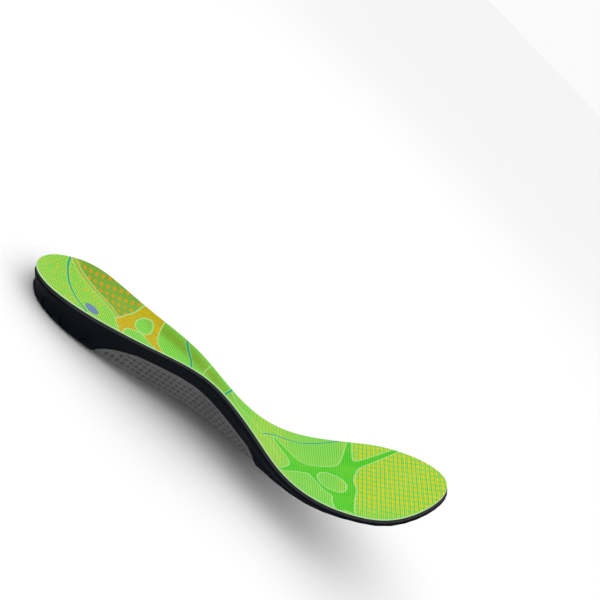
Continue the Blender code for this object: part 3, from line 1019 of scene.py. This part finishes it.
class INSOLE_OT_plate(bpy.types.Operator):
    """Model the dimpled arch plate"""

    bl_idname = "insole.plate"
    bl_label = "Arch plate"

    def execute(self, context):
        sizes = context.scene.insole_plate
        obj = merged_copy("arch_plate", "plate")
        keep_front(obj)
        subdivide(obj, 1, boundary="PRESERVE_CORNERS")
        edit(obj)
        bpy.ops.mesh.select_all(action="SELECT")
        bpy.ops.mesh.subdivide(number_cuts=sizes.cuts, smoothness=0)
        finish_edit()
        press_dimples(obj.data, sizes)
        wall = obj.modifiers.new("Wall", "SOLIDIFY")
        wall.thickness = PLATE_WALL * MM
        wall.offset = -1
        apply_all(obj)
        shade(obj, PLATE_SHARP)
        obj.data.materials.append(plate_finish())
        finish_piece(obj, "arch_plate")
        return {"FINISHED"}


def press_dimples(mesh, sizes):
    """Presses rows of round dimples into the plate, with a smooth rib along the arch."""
    points = points_of(mesh)
    places = flat_places(points) * TO_MM
    pitch = sizes.pitch * TO_MM
    radius = sizes.radius * TO_MM
    depth = sizes.depth * TO_MM
    along = places[:, 0]
    across = places[:, 1] - np.maximum(places[:, 2] - WALL_FROM, 0) * WALL_SPREAD
    gap = np.hypot(along - np.round(along / pitch) * pitch, across - np.round(across / pitch) * pitch)
    border = border_gap(mesh) * TO_MM
    inside = rise(border, *BORDER_CLEAR)
    dimpled = rise(np.abs(across - RIB_PLACE), RIB_HALF, RIB_HALF + RIB_FADE) * inside
    pit = eased(np.clip(DIMPLE_START - gap / radius, 0, 1)) * dimpled
    rim_height, rim_place, rim_width = DIMPLE_RIM
    rim = rim_height * hump(gap, radius * rim_place, rim_width) * dimpled
    rib = hump(across, RIB_PLACE, RIB_WIDTH)
    rib = rib - hump(across, RIB_PLACE + RIB_HOLLOW_PLACE, RIB_HOLLOW_WIDTH)
    lip_height, lip_place, lip_width = BORDER_LIP
    lip = lip_height * hump(border, lip_place, lip_width)
    height = depth * (rim - pit) + RIB_RISE * rib * inside + lip - PLATE_SINK
    set_points(mesh, points + normals_of(mesh) * (height * MM)[:, None])
    # How deep in a dimple each point lies, which the plate's material darkens as painted shade
    add_values(mesh, "pit", pit)


def border_gap(mesh):
    """How far each point is from the mesh's open edge."""
    count = {}
    for face in mesh.polygons:
        for key in face.edge_keys:
            count[key] = count.get(key, 0) + 1
    border = {v for key, n in count.items() if n == 1 for v in key}
    tree = KDTree(len(border))
    for v in border:
        tree.insert(mesh.vertices[v].co, v)
    tree.balance()
    return np.array([tree.find(v.co)[2] for v in mesh.vertices])


class INSOLE_OT_pad(bpy.types.Operator):
    """Model the ridged heel pad"""

    bl_idname = "insole.pad"
    bl_label = "Heel pad"

    def execute(self, context):
        sizes = context.scene.insole_pad
        low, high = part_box("heel_pad")
        middle = (low + high) / 2
        radius, depth = (high.x - low.x) / 2, high.z - low.z
        deselect()
        bpy.ops.mesh.primitive_cylinder_add(vertices=PAD_SIDES, radius=radius, depth=depth, location=middle)
        obj = context.object
        obj.name = "pad"
        obj.scale.y = (high.y - low.y) / 2 / radius
        press_rings(obj, radius, sizes)
        activate(obj)
        bpy.ops.object.transform_apply(location=True, rotation=True, scale=True)
        round_rim(obj)
        shade(obj, PAD_SHARP)
        obj.data.materials.append(pad_finish())
        finish_piece(obj, "heel_pad")
        return {"FINISHED"}


def press_rings(obj, radius, sizes):
    """Insets the pad's lower face again and again, to leave raised rings with sloped sides."""
    mesh = obj.data
    lowest = min(mesh.polygons, key=lambda face: face.center.z)
    for face in mesh.polygons:
        face.select = face.index == lowest.index
    edit(obj)
    bpy.ops.mesh.select_mode(type="FACE")
    bpy.ops.mesh.inset(thickness=sizes.border, depth=0)
    pitch = (radius - sizes.border - PAD_EYE) / sizes.rings
    for _ in range(sizes.rings):
        for depth in (-sizes.ring_height, sizes.ring_height):
            bpy.ops.mesh.inset(thickness=RING_SLOPE * pitch, depth=depth)
            bpy.ops.mesh.inset(thickness=RING_FLAT * pitch, depth=0)
    finish_edit()


def round_rim(obj):
    """Rounds the sharp rims of the pad."""
    bevel = obj.modifiers.new("Rims", "BEVEL")
    bevel.width = PAD_ROUNDING
    bevel.segments = 2
    bevel.limit_method = "ANGLE"
    bevel.angle_limit = math.radians(PAD_RIM_SHARP)
    apply_all(obj)


def add_area_light(name, place, size, power):
    light = bpy.data.lights.new(name, "AREA")
    light.shape = "DISK"
    light.size = size
    light.energy = power
    obj = bpy.data.objects.new(name, light)
    bpy.context.scene.collection.objects.link(obj)
    obj.location = place
    obj.rotation_euler = (-Vector(place)).to_track_quat("-Z", "Y").to_euler()


def floor_finish():
    material = new_material("pale_floor")
    g = Graph(material)
    g.put(g.shader.inputs["Base Color"], g.mix(g.noise(40.0, roughness=0.5), *FLOOR_WHITE))
    g.shader.inputs["Roughness"].default_value = 0.9
    g.shader.inputs["Specular IOR Level"].default_value = 0.1
    return material


def add_floor():
    deselect()
    bpy.ops.mesh.primitive_plane_add(size=FLOOR_SIZE, location=(0, 0, 0))
    floor = bpy.context.object
    floor.name = "floor"
    floor.data.materials.append(floor_finish())
    deselect()


def add_world():
    world = bpy.data.worlds.new("studio")
    world.use_nodes = True
    background = world.node_tree.nodes["Background"]
    background.inputs["Color"].default_value = (1, 1, 1, 1)
    background.inputs["Strength"].default_value = WORLD_STRENGTH
    bpy.context.scene.world = world


def add_camera():
    camera = bpy.data.cameras.new("camera")
    camera.lens = CAMERA_LENS
    camera.sensor_width = CAMERA_SENSOR
    camera.clip_start = 10 * MM
    obj = bpy.data.objects.new("camera", camera)
    bpy.context.scene.collection.objects.link(obj)
    aim = (Vector(CAMERA_AIM) - Vector(CAMERA_PLACE)).to_track_quat("-Z", "Y").to_matrix().to_4x4()
    roll = Matrix.Rotation(math.radians(-CAMERA_ROLL), 4, "Z")
    obj.matrix_world = Matrix.Translation(CAMERA_PLACE) @ aim @ roll
    bpy.context.scene.camera = obj


class INSOLE_OT_stage(bpy.types.Operator):
    """Add the floor, lights and camera"""

    bl_idname = "insole.stage"
    bl_label = "Stage"

    def execute(self, context):
        add_floor()
        add_world()
        for light in LIGHTS:
            add_area_light(*light)
        add_camera()
        context.scene.view_settings.view_transform = "Standard"
        return {"FINISHED"}


class INSOLE_PT_panel(bpy.types.Panel):
    """The insole's pieces in the sidebar"""

    bl_label = "Cushioned insole"
    bl_idname = "INSOLE_PT_panel"
    bl_space_type = "VIEW_3D"
    bl_region_type = "UI"
    bl_category = "Insole"

    def draw(self, context):
        for operator in OPERATORS:
            self.layout.operator(operator.bl_idname)
        scene = context.scene
        for group in (scene.insole_cover, scene.insole_base, scene.insole_plate, scene.insole_pad):
            box = self.layout.box()
            for name in group.__annotations__:
                box.prop(group, name)


OPERATORS = (
    INSOLE_OT_cover,
    INSOLE_OT_foam,
    INSOLE_OT_base,
    INSOLE_OT_plate,
    INSOLE_OT_pad,
    INSOLE_OT_stage,
)
GROUPS = (InsoleCoverSizes, InsoleBaseSizes, InsolePlateSizes, InsolePadSizes)
CLASSES = (*GROUPS, *OPERATORS, INSOLE_PT_panel)


def register():
    for kind in CLASSES:
        bpy.utils.register_class(kind)
    bpy.types.Scene.insole_cover = PointerProperty(type=InsoleCoverSizes)
    bpy.types.Scene.insole_base = PointerProperty(type=InsoleBaseSizes)
    bpy.types.Scene.insole_plate = PointerProperty(type=InsolePlateSizes)
    bpy.types.Scene.insole_pad = PointerProperty(type=InsolePadSizes)


def unregister():
    del bpy.types.Scene.insole_pad
    del bpy.types.Scene.insole_plate
    del bpy.types.Scene.insole_base
    del bpy.types.Scene.insole_cover
    for kind in reversed(CLASSES):
        bpy.utils.unregister_class(kind)


def main():
    for obj in [o for o in bpy.data.objects if o.name in ("Cube", "Light", "Camera")]:
        bpy.data.objects.remove(obj)
    register()
    bpy.ops.insole.foam()
    bpy.ops.insole.cover()
    bpy.ops.insole.base()
    bpy.ops.insole.plate()
    bpy.ops.insole.pad()
    bpy.ops.insole.stage()


if __name__ == "__main__":
    main()
